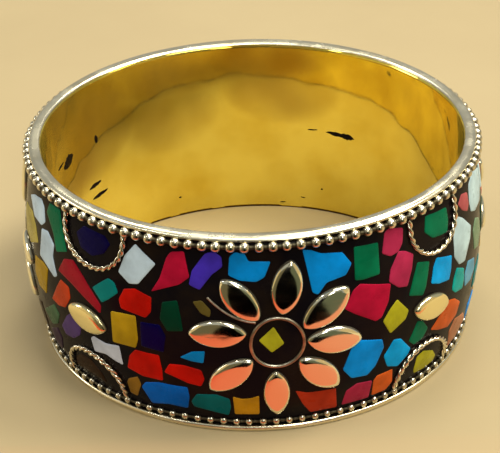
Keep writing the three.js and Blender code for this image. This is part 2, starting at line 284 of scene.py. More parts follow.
# The repeated chips take their colours from these at random.
SHUFFLED_COLOURS = [
    "crimson", "red", "green", "blue", "royal_blue", "teal", "pale_grey", "orange", "mustard",
    "lime", "pink", "indigo", "dark_green", "amber", "rust", "navy", "sea_grey", "purple",
]

# -------- materials


def node(tree, kind, **settings):
    made = tree.nodes.new(kind)
    for key, value in settings.items():
        if key in made.inputs:
            made.inputs[key].default_value = value
        else:
            setattr(made, key, value)
    return made


def object_noise(tree, scale, detail=3.0, stretch=(1, 1, 1), roughness=0.55):
    """Noise in the object's own coordinates, stretched along its axes."""
    place = node(tree, "ShaderNodeTexCoord")
    mapping = node(tree, "ShaderNodeMapping")
    mapping.inputs["Scale"].default_value = stretch
    texture = node(tree, "ShaderNodeTexNoise", Scale=scale, Detail=detail, Roughness=roughness)
    tree.links.new(place.outputs["Object"], mapping.inputs["Vector"])
    tree.links.new(mapping.outputs["Vector"], texture.inputs["Vector"])
    return texture.outputs["Fac"]


def spread(tree, value, low, high, start=0.3, end=0.7):
    """Maps a noise value from start..end to low..high."""
    ranged = node(tree, "ShaderNodeMapRange")
    for key, number in (("From Min", start), ("From Max", end), ("To Min", low), ("To Max", high)):
        ranged.inputs[key].default_value = number
    tree.links.new(value, ranged.inputs["Value"])
    return ranged.outputs["Result"]


def blend_colours(tree, factor, first, second):
    mix = node(tree, "ShaderNodeMix", data_type="RGBA")
    mix.inputs["A"].default_value = (0, 0, 0, 1)
    colours = [socket for socket in mix.inputs if socket.type == "RGBA"]
    for socket, colour in zip(colours, (first, second)):
        if isinstance(colour, tuple):
            socket.default_value = (*colour, 1)
        else:
            tree.links.new(colour, socket)
    tree.links.new(factor, mix.inputs["Factor"])
    return [socket for socket in mix.outputs if socket.type == "RGBA"][0]


def bump(tree, shader, height, distance, strength=1.0):
    made = node(tree, "ShaderNodeBump", Strength=strength, Distance=distance)
    tree.links.new(height, made.inputs["Height"])
    tree.links.new(made.outputs["Normal"], shader.inputs["Normal"])


def principled(name, metallic, roughness):
    made = bpy.data.materials.new(name)
    made.use_nodes = True
    shader = made.node_tree.nodes["Principled BSDF"]
    shader.inputs["Metallic"].default_value = metallic
    shader.inputs["Roughness"].default_value = roughness
    return made, made.node_tree, shader


# The attribute value where the brown painted shade of the band's darker reflections is complete.
# Higher values mark the painted contact shadow at the band's foot.
FULL_REFLECTION_SHADE = 0.75


def polished_brass(name, colour, stain, roughness, scratch, grime_and_shade=None, reflection_shade=None, metallic=1.0):
    """Brass with faint stains, uneven polish and hairlines that run round the band.
    With a dark colour, a mesh attribute says how much of it lies on the brass: grime at the
    studs' edges, and painted shade on the band. With a brown colour too, the attribute marks that
    brown painted shade up to its full level, and the dark colour, a painted contact shadow, above it."""
    made, tree, shader = principled(name, 1.0, roughness)
    cloud = spread(tree, object_noise(tree, 95, 4), 0, 1, 0.42, 0.72)
    base = blend_colours(tree, cloud, colour, stain)
    if grime_and_shade:
        shade_and_grime = node(tree, "ShaderNodeAttribute", attribute_name="shade_and_grime").outputs["Fac"]
        dirt_and_shade = shade_and_grime
        # Painted shade: the brown colour darkens the band's wall where its reflections look darker.
        if reflection_shade:
            base = blend_colours(tree, spread(tree, shade_and_grime, 0, 1, 0, FULL_REFLECTION_SHADE), base, reflection_shade)
            dirt_and_shade = spread(tree, shade_and_grime, 0, 1, FULL_REFLECTION_SHADE, 1)
        base = blend_colours(tree, dirt_and_shade, base, grime_and_shade)
        tree.links.new(spread(tree, shade_and_grime, metallic, 0.6, 0.3, 1), shader.inputs["Metallic"])
    tree.links.new(base, shader.inputs["Base Color"])
    wear = object_noise(tree, 260, 5, (1, 1, 2.5))
    tree.links.new(spread(tree, wear, roughness * 0.7, roughness * 1.6), shader.inputs["Roughness"])
    lines = object_noise(tree, 420, 6, (1, 1, 12), 0.7)
    bump(tree, shader, lines, 0.000012, scratch)
    return made


def worked_wire(name, colour, dark):
    """Wire and bead metal: bright where it is rubbed, darker in its crevices and, as painted shade, on the
    beads' lower halves and the strands' sides that face the lac.
    """
    made, tree, shader = principled(name, 1.0, 0.2)
    shade_and_grime = node(tree, "ShaderNodeAttribute", attribute_name="shade_and_grime").outputs["Fac"]
    grime_and_shade = object_noise(tree, 900, 4)
    mixed = node(tree, "ShaderNodeMath", operation="MULTIPLY_ADD")
    tree.links.new(shade_and_grime, mixed.inputs[0])
    mixed.inputs[1].default_value = 1.35
    tree.links.new(spread(tree, grime_and_shade, -0.25, 0.2), mixed.inputs[2])
    dirt_and_shade = spread(tree, mixed.outputs[0], 0, 1, 0.25, 0.95)
    tree.links.new(blend_colours(tree, dirt_and_shade, colour, dark), shader.inputs["Base Color"])
    tree.links.new(spread(tree, mixed.outputs[0], 0.16, 0.55, 0.1, 1.0), shader.inputs["Roughness"])
    bump(tree, shader, grime_and_shade, 0.00001, 0.4)
    return made


def black_lac():
    made, tree, shader = principled("black_lac", 0.0, 0.2)
    shader.inputs["Specular IOR Level"].default_value = 0.045
    warm = spread(tree, object_noise(tree, 160, 4), 0, 1, 0.4, 0.75)
    black, brown = (0.004, 0.003, 0.004), (0.012, 0.007, 0.004)
    tree.links.new(blend_colours(tree, warm, black, brown), shader.inputs["Base Color"])
    tree.links.new(spread(tree, object_noise(tree, 420, 5), 0.1, 0.3), shader.inputs["Roughness"])
    bump(tree, shader, object_noise(tree, 700, 4), 0.00002, 0.5)
    return made


def chip_material(name, colour):
    """Opaque glassy resin: cloudy colour, ground gloss and faint scratches."""
    made, tree, shader = principled("chip_" + name, 0.0, 0.3)
    shader.inputs["Specular IOR Level"].default_value = 0.05
    deep = tuple(channel * 0.72 for channel in colour)
    light = tuple(min(1.0, channel * 1.12) for channel in colour)
    cloud = spread(tree, object_noise(tree, 240, 5), 0, 1, 0.35, 0.68)
    tree.links.new(blend_colours(tree, cloud, deep, light), shader.inputs["Base Color"])
    tree.links.new(spread(tree, object_noise(tree, 520, 5), 0.22, 0.42), shader.inputs["Roughness"])
    scratches = object_noise(tree, 1100, 5, (1, 1, 0.25), 0.7)
    bump(tree, shader, scratches, 0.00001, 0.4)
    return made


def pale_floor():
    made, tree, shader = principled("pale_floor", 0.0, 0.75)
    cloud = spread(tree, object_noise(tree, 14, 5), 0, 1)
    sand, pale_sand = (0.315, 0.242, 0.120), (0.350, 0.272, 0.137)
    tree.links.new(blend_colours(tree, cloud, sand, pale_sand), shader.inputs["Base Color"])
    bump(tree, shader, object_noise(tree, 300, 4), 0.0001, 0.2)
    return made


# On the band the dark colour paints the contact shadow at its foot, and the brown colour paints shade where
# the inner wall's reflections look darker.
BRASS = polished_brass(
    "polished_brass", (0.93, 0.78, 0.15), (0.76, 0.58, 0.07), 0.035, 0.1,
    grime_and_shade=(0.06, 0.03, 0.004), reflection_shade=(0.30, 0.155, 0.006), metallic=0.9,
)
PALE_BRASS = polished_brass("pale_brass", (0.84, 0.77, 0.56), (0.78, 0.69, 0.45), 0.2, 0.06)
LEAF_BRASS = polished_brass(
    "leaf_brass", (0.95, 0.90, 0.68), (0.92, 0.86, 0.60), 0.11, 0.15, (0.12, 0.10, 0.06)
)
STUD_BRASS = polished_brass(
    "stud_brass", (0.94, 0.84, 0.47), (0.90, 0.78, 0.40), 0.15, 0.15, (0.12, 0.10, 0.06)
)
# Their dark colours serve for grime, and for the painted shade on the beads' lower halves and on the ropes'
# sides that face the lac.
BEAD_WIRE = worked_wire("bead_wire", (0.68, 0.63, 0.47), (0.07, 0.06, 0.035))
ROPE_WIRE = worked_wire("rope_wire", (0.74, 0.68, 0.52), (0.16, 0.13, 0.08))
LAC = black_lac()
CHIP = {name: chip_material(name, colour) for name, colour in PALETTE.items()}

# -------- mesh helpers


def clamped(share):
    return min(1.0, max(0.0, share))


def lac_radius(z):
    share = (z - MID_Z) / (MID_Z - LAC_SHOULDER)
    return LAC_EDGE_RADIUS + LAC_BULGE * (1 - share * share)


def squeeze(angle, z):
    """The change of radius at the two edges: none at the front, most at the flanks."""
    flank = math.sin(angle) ** 2
    below = clamped((4 * MM - z) / (4 * MM))
    above = clamped((z - HEIGHT + 3 * MM) / (1.6 * MM))
    return -(LOWER_EDGE_SQUEEZE * below + UPPER_EDGE_SQUEEZE * above) * flank


def lac_slope(z):
    return -2 * LAC_BULGE * (z - MID_Z) / (MID_Z - LAC_SHOULDER) ** 2


def turned(radius, angle, z):
    """A point at an angle in radians, where 0 faces -Y and angles grow towards +X."""
    return Vector((radius * math.sin(angle), -radius * math.cos(angle), z))


def on_lac(angle, z, out):
    """A point that stands out from the lac by a distance, square to its face."""
    slope = lac_slope(z)
    steep = math.hypot(1, slope)
    radius = lac_radius(z) + squeeze(angle, z) + out / steep
    return turned(radius, angle, z - out * slope / steep)


def bent(across, up, out, azimuth, z):
    """Flat work laid on the lac: across runs round the band and up runs up it."""
    return on_lac(math.radians(azimuth) + across / MIDDLE_RADIUS, z + up, out)


def piece(name, points, faces, material, replaced=None, attribute=None):
    mesh = bpy.data.meshes.new(name)
    mesh.from_pydata(points, [], faces)
    mesh.update()
    mesh.shade_smooth()
    mesh.materials.append(material)
    if attribute:
        values = mesh.attributes.new("shade_and_grime", "FLOAT", "POINT")
        values.data.foreach_set("value", attribute)
    made = bpy.data.objects.new(name, mesh)
    bpy.context.scene.collection.objects.link(made)
    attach(made, "root")
    if replaced:
        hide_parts(replaced)
    return made


def grid_faces(rows, columns, wrap_rows, first=0):
    """Faces of a grid of points whose columns close on themselves, and its rows too if asked."""
    faces = []
    for i in range(rows if wrap_rows else rows - 1):
        for j in range(columns):
            a, b = i * columns, (i + 1) % rows * columns
            k = (j + 1) % columns
            faces.append((first + a + j, first + a + k, first + b + k, first + b + j))
    return faces


def ring_piece(name, profile, material, replaced, segments=360, ripple=None, shade_and_grime=None):
    """A closed profile of (radius, z) points turned about the bangle's axis."""
    points, values = [], []
    for i in range(segments):
        angle = 2 * math.pi * i / segments
        for radius, z in profile:
            shift = ripple(angle, radius, z) if ripple else 0
            points.append(turned(radius + shift, angle, z))
            values.append(shade_and_grime(angle, z) if shade_and_grime else 0.0)
    faces = grid_faces(segments, len(profile), True)
    return piece(name, points, faces, material, replaced, values)


def mound(name, rings, centre, material, replaced=None, shading_and_grime=()):
    """A closed piece lofted through rings from its underside up to a centre point."""
    columns = len(rings[0])
    points = [point for ring in rings for point in ring]
    faces = [tuple(reversed(range(columns)))]
    faces += grid_faces(len(rings), columns, False)
    top = (len(rings) - 1) * columns
    points.append(centre)
    faces += [(top + j, top + (j + 1) % columns, len(points) - 1) for j in range(columns)]
    levels = list(shading_and_grime) + [0.0] * (len(rings) - len(shading_and_grime))
    values = [level for level in levels for _ in range(columns)] + [0.0]
    return piece(name, points, faces, material, replaced, values)


def wire_tubes(name, routes, radius, sides, material, replaced, closed=False, shading_and_grime=None):
    """Round tubes along routes of (point, outward direction) pairs, joined into one piece."""
    points, faces, values = [], [], []
    for number, route in enumerate(routes):
        first = len(points)
        count = len(route)
        for i, (point, outward) in enumerate(route):
            if closed:
                ahead, behind = route[(i + 1) % count][0], route[i - 1][0]
            else:
                ahead, behind = route[min(i + 1, count - 1)][0], route[max(i - 1, 0)][0]
            along = (ahead - behind).normalized()
            side = along.cross(outward).normalized()
            up = side.cross(along)
            for j in range(sides):
                turn = 2 * math.pi * j / sides
                points.append(point + radius * (math.cos(turn) * side + math.sin(turn) * up))
                values.append(shading_and_grime(number, i, turn) if shading_and_grime else 0.0)
        faces += grid_faces(count, sides, closed, first)
        if not closed:
            last = first + (count - 1) * sides
            faces.append(tuple(first + j for j in reversed(range(sides))))
            faces.append(tuple(last + j for j in range(sides)))
    return piece(name, points, faces, material, replaced, values)


# -------- band, rims and lac


# How far the sleeve's inner wall is drawn in half way up, and the depth of its waves and dents.
BAND_WAIST = 0.28 * MM
BAND_WAVES = 0.09 * MM
BAND_DENTS = 0.026 * MM


def band_ripple(angle, radius, z):
    """The hammered-out sleeve isn't quite true: its inner wall has a waist and shallow waves."""
    if radius > INNER_RADIUS + 0.1 * MM:
        return 0
    place = Vector((math.sin(angle) * 2.6, -math.cos(angle) * 2.6, z / MM * 0.055))
    fine = Vector((math.sin(angle) * 9, -math.cos(angle) * 9, z / MM * 0.16))
    waist = BAND_WAIST * (1 - ((z - MID_Z) / MID_Z) ** 2)
    return noise.noise(place) * BAND_WAVES + noise.noise(fine) * BAND_DENTS - waist


# Each cloud of painted shade on the inner wall, brown where its reflections look darker: azimuth,
# height, half its width in degrees, half its height in millimetres, and how strong it is.
REFLECTION_SHADE_CLOUDS = [
    (170, 23.2, 19, 7.0, 0.55), (174, 29.5, 22, 4.6, 0.75), (204, 28.5, 28, 5.2, 0.5),
    (246, 22.5, 28, 11.0, 0.85), (207, 19.5, 17, 7.0, 0.3), (135, 27, 13, 3.5, 0.12),
]


def make_band():
    steps = 60
    foot = 0.9 * MM
    inner = [(INNER_RADIUS, BAND_TOP + (foot - BAND_TOP) * i / steps) for i in range(steps)]
    inner += [(INNER_RADIUS, foot * (1 - i / 6)) for i in range(7)]

    def grime_and_shade(angle, z):
        """Painted shade: an uneven dark line at the sleeve's foot for the contact shadow there, and brown
        clouds above, where the wall's reflections look darker.
        """
        around = Vector((math.sin(angle) * 7, math.cos(angle) * 7, 4))
        if z < 0.32 * MM + 0.12 * MM * noise.noise(around):
            return 1.0
        film = 0.0
        for azimuth, middle, width, height, strength in REFLECTION_SHADE_CLOUDS:
            across = (math.degrees(angle) % 360 - azimuth) / width
            up = (z / MM - middle) / height
            film += strength * max(0.0, 1 - across * across - up * up)
        cloudy = noise.noise(Vector((math.sin(angle) * 4.5, math.cos(angle) * 4.5, z / MM * 0.16)))
        film *= max(0.0, 1.0 + 0.8 * cloudy)
        return FULL_REFLECTION_SHADE * (1 - math.exp(-1.4 * film / FULL_REFLECTION_SHADE))

    outer = [(BAND_OUTER_RADIUS, BAND_BOTTOM), (BAND_OUTER_RADIUS, BAND_TOP)]
    profile = list(reversed(inner + outer))
    ring_piece(
        "band_sleeve", profile, BRASS, "inner_band",
        ripple=band_ripple, shade_and_grime=grime_and_shade,
    )


def rolled_rim(steps=14, power=2.3):
    """The upper rim: a fat outer edge, and a thin lip that rolls over the sleeve's end."""
    outer = UPPER_RIM_OUTER + 0.2 * MM
    middle, half = (INNER_RADIUS + outer) / 2, (outer - INNER_RADIUS) / 2
    seat = BAND_OUTER_RADIUS + JOINT_GAP
    under = outer - 0.42 * MM
    profile = [(seat, UPPER_RIM_BOTTOM), (under, UPPER_RIM_BOTTOM)]
    belly = UPPER_RIM_BOTTOM + 0.3 * MM
    for i in range(2 * steps + 1):
        turn = math.pi * i / (2 * steps)
        c, rise = math.cos(turn), math.sin(turn) ** (2 / power)
        start = belly if i < steps else HEIGHT - RIM_LIP
        reach = half * math.copysign(abs(c) ** (2 / power), c)
        profile.append((middle + reach, start + (HEIGHT - start) * rise))
    return profile + [(seat, HEIGHT - RIM_LIP)]


def rim_ripple(angle, radius, z):
    """Slight waves in a rim, its squeeze, and the extra width of the upper rim at the back."""
    if radius < BAND_OUTER_RADIUS + 0.1 * MM and z < HEIGHT - RIM_LIP / 2:
        return 0
    place = Vector((math.sin(angle) * 5, -math.cos(angle) * 5, 3 + z / MM * 0.2))
    wide = 0.0
    if z > MID_Z and radius > UPPER_RIM_OUTER - 0.6 * MM:
        wide = 0.25 * MM * max(0.0, -math.cos(angle) + 0.1)
    reach = clamped((radius - INNER_RADIUS) / (UPPER_RIM_OUTER - INNER_RADIUS))
    return noise.noise(place) * 0.05 * MM + wide + squeeze(angle, z) * reach


def make_rims():
    ring_piece("upper_rim_roll", rolled_rim(), PALE_BRASS, "upper_rim", ripple=rim_ripple)
    seat = BAND_OUTER_RADIUS + JOINT_GAP
    lower = [(seat, 0), (seat, LOWER_RIM_TOP)]
    middle, rise = LOWER_RIM_TOP / 2, LOWER_RIM_TOP / 2
    for i in range(LOWER_RIM_STEPS + 1):
        turn = math.pi * (0.5 - i / LOWER_RIM_STEPS)
        radius = LOWER_RIM_OUTER - LOWER_RIM_ROLL + LOWER_RIM_ROLL * math.cos(turn)
        lower.append((radius, middle + rise * math.sin(turn)))
    lower.reverse()
    ring_piece("lower_rim_roll", lower, PALE_BRASS, "lower_rim", ripple=rim_ripple)


def make_lac():
    inner = BAND_OUTER_RADIUS + JOINT_GAP
    bottom, top = LOWER_RIM_TOP + JOINT_GAP, UPPER_RIM_BOTTOM - JOINT_GAP
    edge = LAC_EDGE_RADIUS - 0.05 * MM
    steps = 48
    face = []
    for i in range(steps + 1):
        z = LAC_SHOULDER + (HEIGHT - 2 * LAC_SHOULDER) * i / steps
        face.append((lac_radius(z), z))
    profile = [(inner, bottom), (edge, bottom)] + face + [(edge, top), (inner, top)]

    def unevenness(angle, radius, z):
        if radius < inner + 0.1 * MM:
            return 0
        place = Vector((math.sin(angle) * 8, -math.cos(angle) * 8, z / MM * 0.23))
        return noise.noise(place) * 0.03 * MM + squeeze(angle, z)

    ring_piece("lac_filling", profile, LAC, "lac_bed", ripple=unevenness)


# -------- beaded wires


def make_beads(name, replaced, place, seed):
    """Beads strung on a thin core: one closed tube that swells at each bead."""
    rng = random.Random(seed)
    sides = 14
    ring, z, bead, neck = place["ring"], place["z"], place["bead"], place["neck"]
    flare = math.acos(neck / bead)
    turns = [flare * (k / 4 - 1) for k in range(9)]
    points, values = [], []
    for number in range(BEADS):
        size = bead * rng.uniform(0.95, 1.03)
        middle = math.radians(BEAD_START) + 2 * math.pi * (number + rng.uniform(-0.04, 0.04)) / BEADS
        sink = rng.uniform(-0.03, 0.03) * MM
        drop = rng.uniform(-0.03, 0.03) * MM
        stations = [(middle + size * math.sin(t) / ring, size * math.cos(t)) for t in turns]
        stations.append((math.radians(BEAD_START) + 2 * math.pi * (number + 0.5) / BEADS, neck))
        for angle, radius in stations:
            fullness = (radius - neck) / (bead - neck)
            for j in range(sides):
                turn = 2 * math.pi * j / sides
                out = radius * math.cos(turn) + sink * fullness
                up = radius * math.sin(turn) + drop * fullness
                points.append(turned(ring + out + squeeze(angle, z), angle, z + up))
                # Darker towards the necks between beads; painted shade on each bead's lower half.
                values.append(max(0.0, 0.85 - fullness) + 0.35 * max(0.0, -math.sin(turn)))
    faces = grid_faces(len(points) // sides, sides, True)
    piece(name, points, faces, BEAD_WIRE, replaced, values)


# -------- studs, rings and ropes


def leaf_outline(size, inset=0.0, count=56):
    """Corners of the pointed oval, pulled in from its edge by a share of its half width."""
    length = (size[0] - inset * size[1] * 1.5) * MM
    width = size[1] * (1 - inset) * MM
    outline = []
    for i in range(count):
        turn = 2 * math.pi * i / count
        c, s = math.cos(turn), math.sin(turn)
        outline.append((length * c, width * math.copysign(abs(s) ** LEAF_POINTEDNESS, s)))
    return outline


def make_leaf(name, replaced, azimuth, z, turn, size, seed, metal):
    """A polished stud: steep rounded sides and a low dome, a little different each time."""
    rng = random.Random(seed)
    stretch, widen = rng.uniform(0.98, 1.02), rng.uniform(0.97, 1.03)
    tip_lift, side_lift = rng.uniform(-0.012, 0.012), rng.uniform(-0.02, 0.02)
    c, s = math.cos(math.radians(turn)), math.sin(math.radians(turn))

    def place(x, y, out):
        x, y = x * stretch, y * widen
        lifted = out + x * tip_lift + y * side_lift
        return bent(x * c - y * s, x * s + y * c, lifted, azimuth, z)

    rings = [[place(x, y, -LEAF_DEPTH) for x, y in leaf_outline(size)]]
    for inset in (0.0, 0.012, 0.035, 0.07, 0.11, 0.16, 0.22, 0.3, 0.4, 0.52, 0.68, 0.85):
        rise = math.sqrt(1 - (1 - inset) ** LEAF_STEEPNESS)
        out = (LEAF_EDGE + (1 - LEAF_EDGE) * rise) * LEAF_HEIGHT
        rings.append([place(x, y, out) for x, y in leaf_outline(size, inset)])
    mound(name, rings, place(0, 0, LEAF_HEIGHT), metal, replaced, (1.0, 1.0, 0.75, 0.3))


def dulled(number, i, turn):
    """Thin wire beside the lac keeps more of its dark film than the ropes do."""
    return 0.5


def make_flower_ring(name, replaced, azimuth, seed):
    rng = random.Random(seed)
    dent, lean = rng.uniform(0.005, 0.015), rng.uniform(0, 2 * math.pi)
    route = []
    steps = 72
    for i in range(steps):
        turn = 2 * math.pi * i / steps
        bend = 1 + dent * math.cos(3 * (turn - lean))
        x, y = RING_HALF_WIDTH * bend * math.cos(turn), RING_HALF_HEIGHT * bend * math.sin(turn)
        point = bent(x, y, 0.12 * MM, azimuth, FLOWER_Z)
        outward = bent(x, y, 1 * MM, azimuth, FLOWER_Z) - point
        route.append((point, outward))
    wire_tubes(name, [route], RING_WIRE, 10, ROPE_WIRE, replaced, closed=True, shading_and_grime=dulled)


def make_tail_wire():
    stops = [Vector((x * MM, y * MM)) for x, y in TAIL_ROUTE]
    route = []
    steps = 24
    for i in range(steps + 1):
        share = i / steps * (len(stops) - 1)
        k = min(int(share), len(stops) - 2)
        t = share - k
        before, after = stops[max(k - 1, 0)], stops[min(k + 2, len(stops) - 1)]
        a, b = stops[k], stops[k + 1]
        flat = 0.5 * (
            2 * a + (b - before) * t + (2 * before - 5 * a + 4 * b - after) * t**2
            + (3 * a - before - 3 * b + after) * t**3
        )
        point = bent(flat.x, flat.y, 0.1 * MM, FLOWERS[0][1], FLOWER_Z)
        outward = bent(flat.x, flat.y, 1 * MM, FLOWERS[0][1], FLOWER_Z) - point
        route.append((point, outward))
    wire_tubes(
        "flower_tail", [route], 0.17 * MM, 8, ROPE_WIRE, "front_tail_wire", shading_and_grime=dulled
    )


def make_rope(name, replaced, azimuth, z, leg, radius, first_turn, seed):
    """Two strands twisted round each other and bent to a half ring with short straight legs."""
    rng = random.Random(seed)
    strand, swing, lay, seat = 0.215 * MM, 0.2 * MM, 2.4 * MM, 0.3 * MM
    spin = rng.uniform(0, math.pi)
    steps = 116
    c, s = math.cos(math.radians(first_turn)), math.sin(math.radians(first_turn))
    routes = []
    for k in range(2):
        route = []
        for i in range(steps + 1):
            run = (math.pi * radius + 2 * leg) * i / steps
            bend = min(max(run - leg, 0), math.pi * radius) / radius
            rise = max(leg - run, 0) + max(run - leg - math.pi * radius, 0)
            twist = 2 * math.pi * run / lay + k * math.pi + spin
            arc = radius + swing * math.cos(twist) + 0.12 * MM * math.sin(3 * bend + spin)
            out = seat + swing * math.sin(twist)
            x, y = -arc * math.cos(bend), rise - arc * math.sin(bend)
            x, y = x * c - y * s, x * s + y * c
            point = bent(x, y, out, azimuth, z)
            outward = bent(x, y, out + 1 * MM, azimuth, z) - point
            route.append((point, outward))
        routes.append(route)

    def lac_side_shade(number, i, turn):
        # Painted shade on the half of each strand that faces the lac.
        return 0.5 * max(0.0, -math.sin(turn))

    wire_tubes(name, routes, strand, 9, ROPE_WIRE, replaced, shading_and_grime=lac_side_shade)


# -------- chips


def rounded_outline(corners, radius, per_corner=4):
    """The corners' polygon, counter-clockwise, with each corner cut by a small curve."""
    area = sum(a.cross(b) for a, b in zip(corners, corners[1:] + corners[:1]))
    if area < 0:
        corners = list(reversed(corners))
    outline = []
    for i, corner in enumerate(corners):
        back = corners[i - 1] - corner
        ahead = corners[(i + 1) % len(corners)] - corner
        cut = min(radius, back.length * 0.42, ahead.length * 0.42)
        start, end = corner + back.normalized() * cut, corner + ahead.normalized() * cut
        for k in range(per_corner):
            t = k / (per_corner - 1)
            outline.append((1 - t) ** 2 * start + 2 * t * (1 - t) * corner + t**2 * end)
    return outline


def inside(point, outline):
    hit = False
    for a, b in zip(outline, outline[1:] + outline[:1]):
        if (a.y > point.y) != (b.y > point.y):
            if point.x < a.x + (b.x - a.x) * (point.y - a.y) / (b.y - a.y):
                hit = not hit
    return hit


def flat_place(azimuth, z):
    """Where an azimuth and a height lie on the unrolled face, in metres."""
    return Vector((math.radians(azimuth) * MIDDLE_RADIUS, z))


def petal_place(flower, number):
    """Azimuth, height, turn and size of one of a flower's petals."""
    _, azimuth, turn, spread_by = flower
    direction, lean, distance, half_length, half_width = PETALS[number]
    direction += turn + (spread_by[number] if number < len(spread_by) else 0)
    angle = math.radians(direction)
    across, up = distance * MM * math.cos(angle), distance * MM * math.sin(angle)
    petal_azimuth = azimuth + math.degrees(across / MIDDLE_RADIUS)
    return petal_azimuth, FLOWER_Z + up, direction + lean, (half_length, half_width)


def taken_outlines():
    """The unrolled outlines of the studs, and the middle lines of the wires with their reach."""
    leaves, lines = [], []

    def leaf_at(azimuth, z, turn, size):
        c, s = math.cos(math.radians(turn)), math.sin(math.radians(turn))
        centre = flat_place(azimuth, z)
        grown = [(x * 1.04, y * 1.06) for x, y in leaf_outline(size, count=28)]
        leaves.append([centre + Vector((x * c - y * s, x * s + y * c)) for x, y in grown])

    for flower in FLOWERS:
        for k in range(len(PETALS)):
            leaf_at(*petal_place(flower, k))
    for _, azimuth, upper_shift, lower_shift, tilt, upper, lower, upper_z in GAPS:
        leaf_at(azimuth, STUD_Z, tilt, STUD_SIZE)
        lines.append((flat_place(azimuth + upper_shift, upper_z * MM), -1, upper * MM))
        lines.append((flat_place(azimuth + lower_shift, LOWER_ROPE["z"]), 1, lower * MM))
    return leaves, lines


LEAVES, ROPE_CENTRES = taken_outlines()
FULL_TURN = 2 * math.pi * MIDDLE_RADIUS
ROPE_REACH = 0.52 * MM
CHIPS_BOTTOM, CHIPS_TOP = 2.15 * MM, HEIGHT - 2.05 * MM
# Two outlines whose first points are further apart than this can't meet.
FAR_APART = 16 * MM
# The outlines of the chips made so far.
chip_outlines = []


def near(point, centre):
    """The centre, moved by whole turns of the band to the side of the point."""
    return centre + Vector((round((point.x - centre.x) / FULL_TURN) * FULL_TURN, 0))


def clashes(outline):
    """True if a chip's outline meets a stud, a wire, a beaded edge or an earlier chip."""
    for point in outline:
        if not CHIPS_BOTTOM < point.y < CHIPS_TOP:
            return True
        for centre, side, radius in ROPE_CENTRES:
            offset = point - near(point, centre)
            if offset.y * side > -1 * MM and abs(offset.length - radius) < ROPE_REACH:
                return True
    for other in LEAVES + chip_outlines:
        shift = near(outline[0], other[0]) - other[0]
        if (outline[0] - other[0] - shift).length > FAR_APART:
            continue
        moved = [point + shift for point in other]
        if any(inside(point, moved) for point in outline):
            return True
        if any(inside(point, outline) for point in moved):
            return True
    return False


def make_chip(name, colour, corners, replaced=None, fitted=True, size=1.0):
    """A chip pressed into the lac: its ground top follows the face and stands a hair proud.
    One that doesn't fit beside what is there already is made smaller, and in the end left out."""
    centre = sum(corners, Vector((0, 0))) / len(corners)
    while True:
        placed = [centre + (corner - centre) * size for corner in corners]
        outline = rounded_outline(placed, CHIP_ROUNDING)
        if not fitted or not clashes(outline):
            break
        size -= CHIP_SHRINK
        if size < SMALLEST_CHIP:
            return
    chip_outlines.append([centre + (point - centre) * CHIP_CLEARANCE for point in outline])
    across = max((point - centre).length for point in outline)
    levels = [
        (0.0, -CHIP_DEPTH), (0.0, 0.0), (0.03 * MM, 0.045 * MM), (0.10 * MM, 0.085 * MM),
        (0.22 * MM, 0.105 * MM), (0.35 * across, CHIP_PROUD), (0.65 * across, CHIP_PROUD),
    ]
    rings = []
    for inset, out in levels:
        ring = []
        for point in outline:
            shrunk = centre + (point - centre) * (1 - inset / across)
            ring.append(on_lac(shrunk.x / MIDDLE_RADIUS, shrunk.y, out))
        rings.append(ring)
    top = on_lac(centre.x / MIDDLE_RADIUS, centre.y, CHIP_PROUD)
    mound(name, rings, top, CHIP[colour], replaced)


def corners_of(chip, turn=0.0, flip=False, jitter=0.0, rng=None):
    """A chip's corners on the unrolled face, after a turn round the band."""
    corners = []
    for azimuth, z in chip[1:]:
        height = HEIGHT - z * MM if flip else z * MM
        corner = flat_place(azimuth + turn, height)
        if jitter:
            corner += Vector((rng.uniform(-jitter, jitter), rng.uniform(-jitter, jitter)))
        corners.append(corner)
    return corners


def make_mosaic():
    for name, azimuth, *_ in FLOWERS:
        shift = azimuth - FLOWERS[0][1]
        corners = corners_of(FLOWER_CHIP, shift)
        make_chip(f"{name}_centre_chip", "lime", corners, replaced=f"{name}_flower_chip", fitted=False)
    for number, chip in enumerate(FRONT_CHIPS):
        make_chip(f"front_chip_{number + 1:02d}", chip[0], corners_of(chip), size=FRONT_CHIP_SIZE)
    rng = random.Random(11)
    for sector, azimuth, *_ in FLOWERS[1:]:
        shift = azimuth - FLOWERS[0][1]
        number = 0
        for chip in FRONT_CHIPS:
            middle = sum(corner[0] for corner in chip[1:]) / len(chip[1:])
            place = (middle + shift + 180) % 360 - 180
            colour = rng.choice(SHUFFLED_COLOURS)
            corners = corners_of(chip, shift, sector == "back", BACK_CHIP_JITTER, rng)
            if not TILE_START <= middle < TILE_END or abs(place) < FRONT_EDGE:
                continue
            number += 1
            make_chip(f"{sector}_chip_{number:02d}", colour, corners)


# -------- lac smears on the inner wall


def make_smear(number, azimuth, z, length, width, lean, seed):
    """A thin splash of lac on the brass: an uneven streak, thickest in its middle."""
    rng = random.Random(seed)
    c, s = math.cos(math.radians(lean)), math.sin(math.radians(lean))
    count = 26
    edge = []
    for i in range(count):
        turn = 2 * math.pi * i / count
        wobble = rng.uniform(0.72, 1.15)
        x = length / 2 * math.cos(turn) * rng.uniform(0.9, 1.08)
        y = width / 2 * math.sin(turn) * wobble
        edge.append((x * c - y * s, x * s + y * c))

    def place(x, y, out):
        angle = math.radians(azimuth) - x / INNER_RADIUS
        ripple = band_ripple(angle, INNER_RADIUS, z + y)
        return turned(INNER_RADIUS + ripple - out, angle, z + y)

    levels = [(1.0, -0.03 * MM), (1.0, 0.008 * MM), (0.85, 0.02 * MM), (0.5, 0.03 * MM)]
    rings = [[place(x * share, y * share, out) for x, y in edge] for share, out in levels]
    mound(f"lac_smear_{number}", rings, place(0, 0, 0.034 * MM), LAC)


